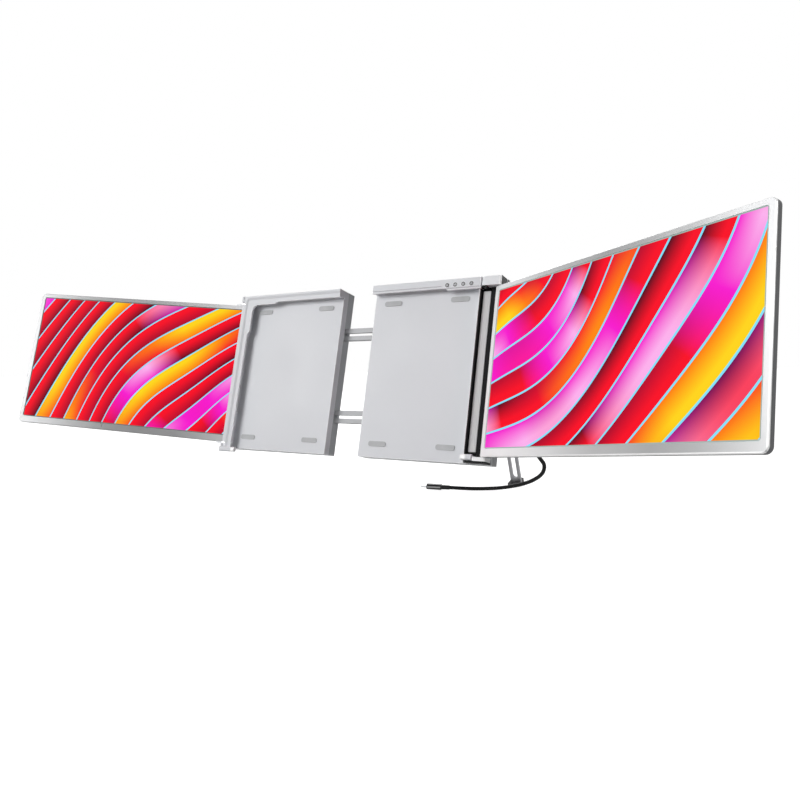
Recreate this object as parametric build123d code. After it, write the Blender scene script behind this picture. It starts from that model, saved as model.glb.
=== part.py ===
"""Laptop screen extender: two 14-inch monitors on a sliding frame that hangs on a laptop's lid.

Millimetres, +Z up, +Y towards the back, +X to the right.  The origin is the middle of the lid
slot at the lid's top edge.  Everything but the cord is built with the lid upright and is then
leaned back by TILT.
"""
from build123d import *
import math
import os

# ---- driving dimensions -------------------------------------------------------------------
TILT = 13.4              # lean of the laptop's lid at rest, degrees
TABLE_DROP = 230.0       # from the lid's top edge down to the table

LID_OPEN = 348.8         # width between the frame's side walls at rest
LID_SLOT = 7.0           # depth of the slot that takes the lid
LIP_T = 2.5              # front lip that hooks over the lid
BAND_T = 1.0             # raised outer band on the lip
BAND_TOP_W = 5.4
BAND_LOW_W = 8.0         # the same on the right half
BAND_SIDE_W = 9.5
BAND_SLOPE = 3.0         # slope from the band down to the lip
BAND_STEP = 0.1          # upright step at the slope's foot
BAR_TOP = 9.3            # top of the bars above the lid's edge
FRAME_BELOW = 7.1        # frame below the monitors
FRAME_BACK = 29.5        # back of the housings behind the slot's front
SEAM_Y = 16.0            # joint between front shells and back covers
WALL = 2.0
BACK_ROUND = 2.5
LIP_COVER = 1.0          # how far the plain lip covers the lid
HOOK_COVER = 3.6         # how far the corner hooks cover it
HOOK_STEP = 3.4
HOOK_LEFT_W = 51.9       # corner hooks along the lid's top edge
HOOK_RIGHT_W = 38.9
GAP_LEFT = -18.6         # free end of the left bar at rest
GAP_RIGHT = 31.6         # free end of the right bar

LEFT_MARGIN = 10.1       # left lip outside the lid
LEFT_LIP_W = 19.0
LEFT_LIP_NARROW = 15.3
LIP_STEP_DROP = 40.5     # where the left lip narrows
LIP_CORNER = 8.5
SIDE_WALL = 2.5
HOUSING_MARGIN = 3.0     # left housing outside the lip
HINGE_GAP = 0.3          # between pieces that turn past each other
RUN_GAP = 0.4            # around a monitor's swinging edge
EDGE = 0.5               # small chamfers

ACTIVE_W = 309.4         # 14-inch 16:9 picture
ACTIVE_H = 174.0
BEZEL_T = 1.6
BEZEL_SIDE = 6.5
BEZEL_TOP = 6.0
BEZEL_BOTTOM = 9.5
BEZEL_LAP = 0.6          # bezel's window outside the picture
WINDOW_R = 2.5
MON_T = 8.0
MON_TOP = -1.7
MON_CORNER = 6.0         # corners away from the hinge
MON_INNER_CORNER = 1.5   # corners at the hinge
MON_BACK_ROUND = 2.0
PANEL_SET = 0.5          # panel behind the bezel's face
PANEL_T = 1.8
LIGHT_T = 2.2
SHELL_T = 1.5
POST_R = 1.9
POST_INSET = 3.9
SCREEN_BOARD_L = 130.0
SCREEN_BOARD_H = 18.0
SCREEN_BOARD_RISE = 10.0
SCREEN_BOARD_T = 0.9

LEFT_ANGLE = 21.6        # forward turn of the left monitor at rest
RIGHT_ANGLE = 26.4       # forward turn of the right monitor at rest
LEFT_AXIS_INSET = 0.5    # left hinge axis inside the lip's outer edge
LEFT_AXIS_Y = -1.25
LEFT_FACE_SET = 3.5      # picture face behind the left hinge axis
KNUCKLE_R = 3.2
EYE_R = 2.6              # eye of a hinge leaf
PIN_R = 1.5
PIN_RUN = 0.05           # radial running clearance
PIN_CAP = 1.2            # metal left over a blind pin hole
LEAF_T = 2.0
LEAF_L = 12.0

RIGHT_WALL = 1.2
LINER_T = 1.0
ARM_GAP = 1.0            # liner to arm
ARM_SPAN = 25.0          # width of the swinging hinge arm
ARM_BARREL = 3.75
ARM_DEPTH = 13.9
ARM_ROUND = 2.0          # the blocks' outer front edge
ARM_FOOT_T = 2.3
ARM_SCREEN_GAP = 0.5     # above and below the right monitor
BAY_GAP = 2.0            # behind the arm
LEAF_R = 3.6
WEB_T = 3.0
WEB_INSET = 2.2          # web ahead of the arm's back
ARM_PANEL_T = 0.8
ARM_PANEL_EDGE = 6.3     # web seen beside the panel
ARM_PANEL_TOP = 4.4
ARM_PANEL_LOW = 3.2
RIGHT_PIN_R = 1.2
PIN_GRIP = 5.0           # right monitor's pins inside the arm's blocks
BUSH_H = 8.0
BUSH_GAP = 1.0
RIGHT_AXIS_EDGE = 3.0    # right hinge axis from the arm's outer face
RIGHT_AXIS_Y = 2.8
RIGHT_AXIS_INSET = 4.0   # right hinge axis from the monitor's inner edge

RAIL_W = 16.0
RAIL_T = 4.0
RAIL_TOP_DROP = 45.0     # upper rail below the lid's edge
RAIL_LOW_RISE = 48.3     # lower rail above the frame's bottom
RAIL_RUN = 0.3
RAIL_Y = 20.0
RAIL_FIXED = 100.0       # rail held inside the left housing
RAIL_SLOT_W = 4.0
SLIDE_OUT = 50.0
GUIDE_L = 30.0
GUIDE_RIM = 4.0
SEAT_L = 16.0
STOP_R = 2.0             # cross pins at the rails' ends
STOP_L = 9.0

SCREW_R = 1.1
SCREW_L = 14.0
SCREW_EDGE = 8.0         # cover screws from the side walls
SCREW_GAP_END = 12.0     # cover screws from the bars' free ends
SCREW_DROP = 12.0
SCREW_RISE = 12.3
COVER_POST_R = 3.0
SCREEN_SCREW_R = 0.8
SCREEN_SCREW_L = 4.0

PAD_T = 0.8
PAD_L = 24.0
PAD_H = 6.0
PAD_EDGE = 14.0          # pads from the slot's ends and the bars' free ends
PAD_DROP = 9.0
PAD_RISE = 16.0
STOP_PAD_T = 0.6

BUTTON_EDGE = 8.6        # last button from the slot's right end
BUTTON_PITCH = 10.3
BUTTON_COUNT = 4
BUTTON_Z = 2.2
BUTTON_R = 1.7
RING_R = 2.5
BUTTON_PROUD = 0.3
BUTTON_TRAVEL = 0.5
BUTTON_BOARD_T = 1.0
BOARD_T = 1.4
BOARD_POST = 2.0
BOARD_EDGE = 14.0        # main board from the slot's right end
BOARD_GAP_END = 44.0     # main board from the bar's free end
BOARD_RAIL_GAP = 10.0
CHIP_T = 1.4

CLIP_TIP_H = 6.4
CLIP_TIP_L = 6.0
CLIP_DEPTH = 4.0
CLIP_SET = 0.3           # clips ahead of the lip's back
CLIP_PIN_R = 0.9
CLIP_PIN_GRIP = 3.5      # pin inside the tip
CLIP_PIN_L = 5.6         # pin inside the barrel
CLIP_OVERLAP = 1.0       # right tip over the lid
LEFT_CLIP_REACH = 8.4    # left barrel over the lid
LEFT_CLIP_DROP = 2.6     # left clip below the frame

KICK_RUN = 0.35          # around the sleeve where it leaves its recess
KICK_DROP = 85.0         # pivot below the lid's top edge
KICK_LEAN = 20.0         # lean of the leg at rest, away from upright
KICK_PROUD = 0.1         # folded sleeve behind the housing's back
SLEEVE_L = 80.0
SLEEVE_W = 15.4
SLEEVE_T = 6.6
SLEEVE_WALL = 1.2
SLEEVE_RUN = 0.2
LEG_T = 3.2
LEG_RAIL_W = 3.2         # leg beside its slot
LEG_GRIP = 14.0          # leg inside the sleeve at rest
FOOT_W = 15.4
FOOT_D = 12.0
FOOT_H = 7.0
FOOT_WAIST = 2.4
RIVET_R = 1.25
RIVET_RISE = 5.0
KICK_PIN_R = 1.5
RECESS_RUN = 0.3         # around the folded kickstand
RECESS_WALL = 1.3

SOCKET_RISE = (24.3, 44.3)
SOCKET_Y = 18.0
SOCKET_L = 8.0
CORD_D = 4.2
PLUG_L = 17.0
PLUG_W = 10.0
PLUG_H = 6.0
PLUG_OUT = 0.8           # plug's face outside its socket
RELIEF_L = 9.0
CONTACT_L = 6.2
CONTACT_W = 8.3
CONTACT_H = 2.5
CORD_STEPS = [           # corners of the cord's route, from the end of the first plug
    (0.0, 0.0, 0.0), (12.0, 0.0, 0.0), (19.5, -0.5, -4.9), (23.4, 1.0, -12.9), (26.5, 8.3, -20.0),
    (23.3, 13.0, -29.2), (14.6, 19.2, -36.4), (0.8, 25.9, -43.5), (-16.5, 32.3, -49.3),
    (-37.8, 37.3, -54.3), (-53.4, 24.8, -54.4), (-69.4, 15.9, -54.3), (-87.8, 9.0, -53.5),
]

# ---- worked out from them -----------------------------------------------------------------
LID_LEFT = -LID_OPEN / 2
LID_RIGHT = LID_OPEN / 2
MON_W = ACTIVE_W + 2 * BEZEL_SIDE
MON_H = ACTIVE_H + BEZEL_TOP + BEZEL_BOTTOM
MON_BOTTOM = MON_TOP - MON_H
ACTIVE_TOP = MON_TOP - BEZEL_TOP
FRAME_BOTTOM = MON_BOTTOM - FRAME_BELOW
FRONT = -(LIP_T + BAND_T)
LEFT_X = LID_LEFT - LEFT_MARGIN
LEFT_AXIS_X = LEFT_X + LEFT_AXIS_INSET
POCKET_TOP = MON_TOP + LEAF_T + HINGE_GAP
POCKET_BOTTOM = MON_BOTTOM - LEAF_T - HINGE_GAP
POCKET_X = LID_LEFT - SIDE_WALL
SWEEP_R = math.hypot(BEZEL_SIDE, LEFT_FACE_SET + MON_T)
POCKET_BACK = LEFT_AXIS_Y + SWEEP_R + RUN_GAP
HOUSING_LEFT = LEFT_X - HOUSING_MARGIN
HOOK_LEFT = LID_LEFT + HOOK_LEFT_W
HOOK_RIGHT = LID_RIGHT - HOOK_RIGHT_W
RAIL_Z = (-RAIL_TOP_DROP, FRAME_BOTTOM + RAIL_LOW_RISE)
RAIL_STOP_X = GAP_RIGHT + WALL + GUIDE_L + SLIDE_OUT + STOP_R + HINGE_GAP
BUTTON_XS = [LID_RIGHT - BUTTON_EDGE - (BUTTON_COUNT - 1 - i) * BUTTON_PITCH for i in range(BUTTON_COUNT)]
BUTTON_LOW = BUTTON_Z - RING_R - 1.4     # low edge of the band around the buttons
SCREW_ZS = (-SCREW_DROP, (FRAME_BOTTOM + SCREW_RISE - SCREW_DROP) / 2, FRAME_BOTTOM + SCREW_RISE)
LEFT_SCREWS = [(x, z) for z in SCREW_ZS for x in (LID_LEFT + SCREW_EDGE, GAP_LEFT - SCREW_GAP_END)]
RIGHT_SCREWS = [(x, z) for z in SCREW_ZS for x in (GAP_RIGHT + SCREW_GAP_END, LID_RIGHT - SCREW_EDGE)]
SOCKET_Z = [FRAME_BOTTOM + rise for rise in SOCKET_RISE]

CLIP_Y = -CLIP_SET - CLIP_DEPTH / 2
LEFT_CLIP_Z = FRAME_BOTTOM - LEFT_CLIP_DROP
RIGHT_CLIP_Z = FRAME_BOTTOM + ARM_FOOT_T + RUN_GAP + CLIP_TIP_H / 2
LEFT_CLIP_X = LID_LEFT + LEFT_CLIP_REACH
RIGHT_CLIP_X = LID_RIGHT - CLIP_OVERLAP + CLIP_TIP_L
NECK_BOTTOM = RIGHT_CLIP_Z - CLIP_TIP_H / 2
NECK_TOP = RIGHT_CLIP_Z + CLIP_TIP_H / 2

RIGHT_WALL_OUT = LID_RIGHT + RIGHT_WALL
ARM_LEFT = RIGHT_WALL_OUT + LINER_T + ARM_GAP
BAR_END = ARM_LEFT - HINGE_GAP
ARM_RIGHT = ARM_LEFT + ARM_SPAN
ARM_AXIS_X = ARM_LEFT + ARM_BARREL
ARM_AXIS_Y = FRONT + ARM_BARREL
ARM_BACK = FRONT + ARM_DEPTH
ARM_TOP_BOTTOM = MON_TOP + ARM_SCREEN_GAP
ARM_FOOT_TOP = MON_BOTTOM - ARM_SCREEN_GAP
LEAF_TOP = ARM_TOP_BOTTOM - HINGE_GAP
BAY_BACK = ARM_BACK + BAY_GAP
BARREL_END = RIGHT_CLIP_X + CLIP_PIN_L + PIN_CAP
BEARING_REACH = math.hypot(BARREL_END - ARM_AXIS_X, ARM_AXIS_Y - CLIP_Y + CLIP_DEPTH / 2 + 0.1) + RUN_GAP
WEB_Y = ARM_BACK - WEB_INSET
WEB_LOW = NECK_TOP + 0.9
RIGHT_AXIS_X = ARM_RIGHT - RIGHT_AXIS_EDGE
RIGHT_SWEEP = math.hypot(RIGHT_AXIS_INSET, MON_T / 2)
WEB_RIGHT = RIGHT_AXIS_X - RIGHT_SWEEP - RUN_GAP

KICK_Z = -KICK_DROP
KICK_Y = FRAME_BACK - SLEEVE_T / 2 + KICK_PROUD
RECESS_SIDE = SLEEVE_W / 2 + RECESS_RUN
KICK_X = ARM_RIGHT - RECESS_WALL - RECESS_SIDE
RECESS_FLOOR = KICK_Y - FOOT_D / 2 - RECESS_RUN
KICK_OPEN = math.radians(TILT + KICK_LEAN)     # leg to housing at rest
KICK_SWEEP = SLEEVE_T / 2 + KICK_RUN + (FRAME_BACK - KICK_Y) * math.cos(KICK_OPEN)
RECESS_BOTTOM = KICK_Z - KICK_SWEEP / math.sin(KICK_OPEN)
LEG_W = SLEEVE_W - 2 * (SLEEVE_WALL + SLEEVE_RUN)
LEG_SLOT_W = LEG_W - 2 * LEG_RAIL_W

DOWN = Rot(-TILT, 0, 0)


# ---- small helpers ------------------------------------------------------------------------
def block(x0, x1, y0, y1, z0, z1):
    """Box between two corners."""
    return Pos((x0 + x1) / 2, (y0 + y1) / 2, (z0 + z1) / 2) * Box(x1 - x0, y1 - y0, z1 - z0)


def plate(outline, y0, y1):
    """Outline drawn in x and z, as thick as y0 to y1."""
    return Pos(0, y1, 0) * Rot(90, 0, 0) * extrude(outline, y1 - y0, dir=(0, 0, 1))


def column(outline, z0, z1):
    """Outline drawn in x and y, as tall as z0 to z1."""
    return Pos(0, 0, z0) * extrude(outline, z1 - z0, dir=(0, 0, 1))


def rod_z(x, y, z0, z1, r):
    return Pos(x, y, (z0 + z1) / 2) * Cylinder(r, z1 - z0)


def rod_y(x, z, y0, y1, r):
    return Pos(x, (y0 + y1) / 2, z) * Rot(90, 0, 0) * Cylinder(r, y1 - y0)


def rod_x(y, z, x0, x1, r):
    return Pos((x0 + x1) / 2, y, z) * Rot(0, 90, 0) * Cylinder(r, x1 - x0)


def shape_of(*points):
    return Polygon(*points, align=None)


def round_corner(outline, x, y, r):
    """Round the outline's corner nearest to a point."""
    corner = min(outline.vertices(), key=lambda v: math.hypot(v.X - x, v.Y - y))
    return fillet(corner, r)


def panel(x0, x1, z0, z1, r):
    """Rounded rectangle in x and z."""
    return Pos((x0 + x1) / 2, (z0 + z1) / 2) * RectangleRounded(x1 - x0, z1 - z0, r)


def screw_hole(x, z, y_head=FRAME_BACK, length=SCREW_L, r=SCREW_R):
    """Bore and countersink for a cover screw with its head at the back."""
    sink = Pos(x, y_head - 0.6, z) * Rot(-90, 0, 0) * Cone(r, 2 * r, 1.2)
    return sink + rod_y(x, z, y_head - length, y_head - 1.2, r)


def screw(x, z, y_head=FRAME_BACK, length=SCREW_L, r=SCREW_R):
    """Countersunk cover screw with a hexagon socket."""
    socket = plate(Pos(x, z) * RegularPolygon(0.8 * r, 6), y_head - 0.7, y_head + 1)
    return screw_hole(x, z, y_head, length, r) - socket


def joined(shapes):
    """All shapes as one group."""
    total = shapes[0]
    for shape in shapes[1:]:
        total += shape
    return total


def split(shape, y):
    """Front and back of a shape, cut at y."""
    far = 10 * LID_OPEN
    front = shape & block(-far, far, -far, y, -far, far)
    back = shape & block(-far, far, y, far, -far, far)
    return front, back


# ---- the frame's left half ----------------------------------------------------------------
def left_lip():
    """L-shaped lip that hooks over the lid's top left corner."""
    inner = LEFT_X + LEFT_LIP_W
    narrow = LEFT_X + LEFT_LIP_NARROW
    outline = shape_of(
        (LEFT_X, BAR_TOP), (GAP_LEFT, BAR_TOP), (GAP_LEFT, -LIP_COVER),
        (HOOK_LEFT, -LIP_COVER), (HOOK_LEFT - HOOK_STEP, -HOOK_COVER), (inner, -HOOK_COVER),
        (inner, -LIP_STEP_DROP), (narrow, -LIP_STEP_DROP - HOOK_STEP), (narrow, FRAME_BOTTOM),
        (LEFT_X, FRAME_BOTTOM))
    outline = round_corner(outline, inner, -HOOK_COVER, LIP_CORNER)
    lip = plate(outline, -LIP_T, 0)
    band_in = LEFT_X + BAND_SIDE_W
    band_low = BAR_TOP - BAND_TOP_W
    band = shape_of(
        (LEFT_X, BAR_TOP), (GAP_LEFT, BAR_TOP), (GAP_LEFT, band_low),
        (band_in, band_low), (band_in, FRAME_BOTTOM), (LEFT_X, FRAME_BOTTOM))
    band = round_corner(band, band_in, band_low, LIP_CORNER / 2)
    raised = plate(band, FRONT, -LIP_T)
    face = raised.faces().sort_by(Axis.Y)[0]
    outside = [e for e in face.edges() if e.center().X < LEFT_X + EDGE or e.center().Z > BAR_TOP - EDGE]
    raised = chamfer(outside, EDGE)
    face = raised.faces().sort_by(Axis.Y)[0]
    inside = [e for e in face.edges() if LEFT_X + BAND_SIDE_W / 2 < e.center().X < GAP_LEFT - EDGE]
    rim = [e for e in inside if FRAME_BOTTOM + EDGE < e.center().Z < BAR_TOP - BAND_TOP_W / 2]
    raised = chamfer(rim, BAND_SLOPE, BAND_T - BAND_STEP, reference=face)
    return lip + raised


def rail_holes(x0, x1):
    """Openings for the slide rails through a wall."""
    holes = []
    for z in RAIL_Z:
        holes.append(block(x0, x1, RAIL_Y - RAIL_T / 2 - RAIL_RUN, RAIL_Y + RAIL_T / 2 + RAIL_RUN,
                           z - RAIL_W / 2 - RAIL_RUN, z + RAIL_W / 2 + RAIL_RUN))
    return holes


def cover_posts(points):
    """Posts for the cover screws, from the slot's back to the cover."""
    return [rod_y(x, z, LID_SLOT + WALL, FRAME_BACK - WALL, COVER_POST_R) for x, z in points]


def round_back(body):
    """Round the rim of a housing's back."""
    return fillet(body.edges().group_by(Axis.Y)[-1], BACK_ROUND)


def left_half():
    """Front shell and back cover of the left half."""
    body = column(shape_of(
        (HOUSING_LEFT, POCKET_BACK), (POCKET_X, POCKET_BACK), (POCKET_X, -LIP_T),
        (LID_LEFT, -LIP_T), (LID_LEFT, LID_SLOT), (GAP_LEFT, LID_SLOT),
        (GAP_LEFT, FRAME_BACK), (HOUSING_LEFT, FRAME_BACK)), FRAME_BOTTOM, BAR_TOP)
    body = round_back(body)
    body += block(LEFT_X, GAP_LEFT, -LIP_T, LID_SLOT + WALL, 0, BAR_TOP)
    body += block(LEFT_X, POCKET_X + WALL, -LIP_T, POCKET_BACK + 1, POCKET_TOP, BAR_TOP)
    body += block(LEFT_X, POCKET_X + WALL, -LIP_T, POCKET_BACK + 1, FRAME_BOTTOM, POCKET_BOTTOM)
    body += left_lip()
    body += rod_z(LEFT_AXIS_X, LEFT_AXIS_Y, POCKET_TOP, BAR_TOP, KNUCKLE_R)
    body += rod_z(LEFT_AXIS_X, LEFT_AXIS_Y, FRAME_BOTTOM, POCKET_BOTTOM, KNUCKLE_R)
    body += clip_barrel(HOUSING_LEFT, LEFT_CLIP_X - HINGE_GAP, LEFT_CLIP_Z)

    # room for the monitor's edge and its hinge leaves
    outside = HOUSING_LEFT - 5
    body -= block(outside, POCKET_X, 0, POCKET_BACK, POCKET_BOTTOM, POCKET_TOP)
    for z0, z1 in ((MON_TOP - RUN_GAP, POCKET_TOP), (POCKET_BOTTOM, MON_BOTTOM + RUN_GAP)):
        body -= block(outside, LEFT_AXIS_X + KNUCKLE_R + 0.6, FRONT - 5, POCKET_BACK, z0, z1)
    bore = PIN_R + PIN_RUN
    body -= rod_z(LEFT_AXIS_X, LEFT_AXIS_Y, POCKET_TOP - 1, BAR_TOP - PIN_CAP, bore)
    body -= rod_z(LEFT_AXIS_X, LEFT_AXIS_Y, FRAME_BOTTOM + PIN_CAP, POCKET_BOTTOM + 1, bore)
    body -= clip_bore(LEFT_CLIP_X - CLIP_PIN_L - 0.2, LEFT_CLIP_X, LEFT_CLIP_Z)

    # hollow inside
    body -= block(LID_LEFT, GAP_LEFT - WALL, LID_SLOT + WALL, FRAME_BACK - WALL,
                  FRAME_BOTTOM + WALL, BAR_TOP - WALL)
    body -= block(HOUSING_LEFT + WALL, LID_LEFT + 1, POCKET_BACK + WALL, FRAME_BACK - WALL,
                  FRAME_BOTTOM + WALL, BAR_TOP - WALL)
    body -= block(LID_LEFT, GAP_LEFT - WALL, 0, LID_SLOT + WALL + 1, WALL, BAR_TOP - WALL)
    for post in cover_posts(LEFT_SCREWS):
        body += post
    for hole in rail_holes(GAP_LEFT - WALL - 1, GAP_LEFT + 1):
        body -= hole
    for x, z in LEFT_SCREWS:
        body -= screw_hole(x, z)

    return split(body, SEAM_Y)


def lid_pads(x0, x1, x_side):
    """Silicone pads that touch the lid: behind its corners, and over its top and side edges."""
    inward = 1 if x_side < 0 else -1
    back = []
    for x in (x0 + PAD_EDGE + PAD_L / 2, x1 - PAD_EDGE - PAD_L / 2):
        for z in (-PAD_DROP - PAD_H / 2, FRAME_BOTTOM + PAD_RISE):
            outline = Pos(x, z) * RectangleRounded(PAD_L, PAD_H, PAD_H / 2 - EDGE)
            back.append(plate(outline, LID_SLOT - PAD_T, LID_SLOT))
    top = block(x0 + PAD_EDGE, x1 - PAD_EDGE, 1.0, LID_SLOT - 1.0, -STOP_PAD_T, 0)
    side_x = sorted((x_side, x_side + inward * STOP_PAD_T))
    side = block(side_x[0], side_x[1], 1.0, LID_SLOT - 1.0, RAIL_Z[1], RAIL_Z[0])
    return joined(back) + top + side


def slide_rail(z):
    """Flat rail fixed in the left half and running in the right one."""
    x0 = GAP_LEFT - RAIL_FIXED
    x1 = RAIL_STOP_X + STOP_R + 3
    rail = block(x0, x1, RAIL_Y - RAIL_T / 2, RAIL_Y + RAIL_T / 2, z - RAIL_W / 2, z + RAIL_W / 2)
    rail = chamfer(rail.edges().filter_by(Axis.X), EDGE)
    half = RAIL_SLOT_W / 2
    slot = panel(GAP_LEFT - 2, RAIL_STOP_X - 15, z - half, z + half, half - 0.1)
    return rail - plate(slot, RAIL_Y - RAIL_T, RAIL_Y + RAIL_T)


def rail_block(x, length, z):
    """Block round a rail, as deep as the housing."""
    half = RAIL_W / 2 + GUIDE_RIM
    return block(x, x + length, LID_SLOT + WALL, FRAME_BACK - WALL, z - half, z + half)


def rail_seats():
    """Clamp blocks that hold the rails in the left housing."""
    seats = []
    for z in RAIL_Z:
        for x in (GAP_LEFT - RAIL_FIXED + 2, GAP_LEFT - WALL - SEAT_L - 12):
            seat = rail_block(x, SEAT_L, z)
            seat -= block(x - 1, x + SEAT_L + 1, RAIL_Y - RAIL_T / 2, RAIL_Y + RAIL_T / 2,
                          z - RAIL_W / 2, z + RAIL_W / 2)
            seats.append(seat)
    return joined(seats)


def rail_guides():
    """Sliding blocks at the mouth of the right housing."""
    guides = joined([rail_block(GAP_RIGHT + WALL, GUIDE_L, z) for z in RAIL_Z])
    for hole in rail_holes(GAP_RIGHT - 1, GAP_RIGHT + WALL + GUIDE_L + 1):
        guides -= hole
    return guides


def rail_stops():
    """Cross pins at the rails' ends that stop the halves from coming apart."""
    y0, y1 = RAIL_Y - STOP_L / 2, RAIL_Y + STOP_L / 2
    return joined([rod_y(RAIL_STOP_X, z, y0, y1, STOP_R) for z in RAIL_Z])


# ---- clips that hold the lid's lower corners ----------------------------------------------
def clip_run(x0, x1, z, height, depth):
    """Rounded bar along X at a clip's place."""
    bar = extrude(RectangleRounded(height, depth, depth * 0.45), x1 - x0)
    return Pos(x0, CLIP_Y, z) * Rot(0, 90, 0) * bar


def clip_barrel(x0, x1, z):
    return clip_run(x0, x1, z, CLIP_TIP_H + 0.2, CLIP_DEPTH + 0.2)


def clip_bore(x0, x1, z):
    """Running bore for a clip's pin."""
    return rod_x(CLIP_Y, z, x0, x1, CLIP_PIN_R + PIN_RUN)


def clip(side):
    """Clip pin and its silicone tip."""
    face = LEFT_CLIP_X if side < 0 else RIGHT_CLIP_X
    z = LEFT_CLIP_Z if side < 0 else RIGHT_CLIP_Z
    inward = -side
    x_in = sorted((face, face + inward * CLIP_TIP_L))
    x_pin = sorted((face + inward * CLIP_PIN_GRIP, face - inward * CLIP_PIN_L))
    tip = clip_run(x_in[0], x_in[1], z, CLIP_TIP_H, CLIP_DEPTH)
    pin = rod_x(CLIP_Y, z, x_pin[0], x_pin[1], CLIP_PIN_R)
    return pin, tip - pin


# ---- the frame's right half ---------------------------------------------------------------
def right_lip():
    """Lip over the lid's top edge, deeper near the corner."""
    outline = shape_of(
        (GAP_RIGHT, BAR_TOP), (BAR_END, BAR_TOP), (BAR_END, -HOOK_COVER),
        (HOOK_RIGHT, -HOOK_COVER), (HOOK_RIGHT - HOOK_STEP, -LIP_COVER), (GAP_RIGHT, -LIP_COVER))
    lip = plate(outline, -LIP_T, 0)
    deep = BUTTON_XS[0] - RING_R - 0.9
    band_low = BAR_TOP - BAND_LOW_W
    band = plate(shape_of(
        (GAP_RIGHT, BAR_TOP), (BAR_END, BAR_TOP), (BAR_END, BUTTON_LOW), (deep, BUTTON_LOW),
        (deep - HOOK_STEP, band_low), (GAP_RIGHT, band_low)), FRONT, -LIP_T)
    band = chamfer(band.edges().group_by(Axis.Y)[0], EDGE)
    return lip + band


def recess_pin():
    """Pivot through both sides of the kickstand's recess."""
    reach = RECESS_SIDE + RECESS_WALL - 0.3
    return rod_x(KICK_Y, KICK_Z, KICK_X - reach - 1, KICK_X + reach, KICK_PIN_R)


def arm_lower_pin():
    """Pin fixed in the arm's foot that turns in the neck, behind the clip's pin."""
    return rod_z(ARM_AXIS_X, ARM_AXIS_Y, FRAME_BOTTOM + 0.6, NECK_BOTTOM + 4.8, RIGHT_PIN_R)


def right_half():
    """Front shell and back cover of the right half, with the bay for the hinge arm."""
    body = column(shape_of(
        (GAP_RIGHT, LID_SLOT), (LID_RIGHT, LID_SLOT), (LID_RIGHT, 0), (RIGHT_WALL_OUT, 0),
        (RIGHT_WALL_OUT, BAY_BACK), (ARM_RIGHT, BAY_BACK), (ARM_RIGHT, FRAME_BACK),
        (GAP_RIGHT, FRAME_BACK)), FRAME_BOTTOM, BAR_TOP)
    body = round_back(body)
    body += block(GAP_RIGHT, BAR_END, -LIP_T, BAY_BACK + 1, 0, BAR_TOP)
    body += right_lip()
    barrel_x = RIGHT_CLIP_X + HINGE_GAP
    body += block(barrel_x, ARM_AXIS_X + LEAF_R, CLIP_Y, BAY_BACK + 1, NECK_BOTTOM, NECK_TOP)
    body += clip_barrel(barrel_x, BARREL_END, RIGHT_CLIP_Z)

    # hollow inside, with the bar's button space
    body -= block(GAP_RIGHT + WALL, LID_RIGHT, LID_SLOT + WALL, FRAME_BACK - WALL,
                  FRAME_BOTTOM + WALL, BAR_TOP - WALL)
    body -= block(LID_RIGHT - 1, ARM_RIGHT - WALL, BAY_BACK + WALL, FRAME_BACK - WALL,
                  FRAME_BOTTOM + WALL, RECESS_BOTTOM - WALL)
    body -= block(GAP_RIGHT + WALL, LID_RIGHT, -0.2, LID_SLOT + WALL + 1, 1.2, BAR_TOP - WALL)

    # recess for the folded leg, open at the back and the top
    body -= block(KICK_X - RECESS_SIDE, KICK_X + RECESS_SIDE, RECESS_FLOOR, FRAME_BACK + 1,
                  RECESS_BOTTOM, BAR_TOP + 1)
    body -= recess_pin()

    for x in BUTTON_XS:
        body -= rod_y(x, BUTTON_Z, FRONT - 1, 0, RING_R)
    for post in cover_posts(RIGHT_SCREWS):
        body += post
    for x, z in RIGHT_SCREWS:
        body -= screw_hole(x, z)
    for hole in rail_holes(GAP_RIGHT - 1, GAP_RIGHT + WALL + 1):
        body -= hole
    for z in SOCKET_Z:
        body -= Pos(ARM_RIGHT, SOCKET_Y, z) * socket_body(SOCKET_L, 0.0)
    body -= rod_z(ARM_AXIS_X, ARM_AXIS_Y, NECK_BOTTOM - 1, NECK_BOTTOM + 5.2, RIGHT_PIN_R + PIN_RUN)
    body -= clip_bore(RIGHT_CLIP_X, RIGHT_CLIP_X + CLIP_PIN_L + 0.2, RIGHT_CLIP_Z)

    return split(body, SEAM_Y)


def bay_liner():
    """Black liner of the bay that the hinge arm folds out of."""
    top = LEAF_TOP - LEAF_T - HINGE_GAP
    low = NECK_TOP + EDGE
    side = block(RIGHT_WALL_OUT, RIGHT_WALL_OUT + LINER_T, 0.6, BAY_BACK, low, top)
    return side + block(RIGHT_WALL_OUT, ARM_RIGHT - 0.4, BAY_BACK - LINER_T, BAY_BACK, low, top)


def top_leaf():
    """Steel leaf from the housing to the hinge arm's upper pin."""
    outline = shape_of((ARM_AXIS_X - LEAF_R, ARM_AXIS_Y), (ARM_AXIS_X + LEAF_R, ARM_AXIS_Y),
                       (ARM_AXIS_X + LEAF_R, BAY_BACK), (ARM_AXIS_X - LEAF_R, BAY_BACK))
    outline += Pos(ARM_AXIS_X, ARM_AXIS_Y) * Circle(LEAF_R)
    leaf = column(outline, LEAF_TOP - LEAF_T, LEAF_TOP)
    return leaf - rod_z(ARM_AXIS_X, ARM_AXIS_Y, LEAF_TOP - LEAF_T - 1, LEAF_TOP + 1, PIN_R)


def arm_upper_pin():
    """Pin fixed in the leaf that the arm's upper block turns on."""
    return rod_z(ARM_AXIS_X, ARM_AXIS_Y, LEAF_TOP - LEAF_T, BAR_TOP - 2 * PIN_CAP - 0.8, PIN_R)


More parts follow.
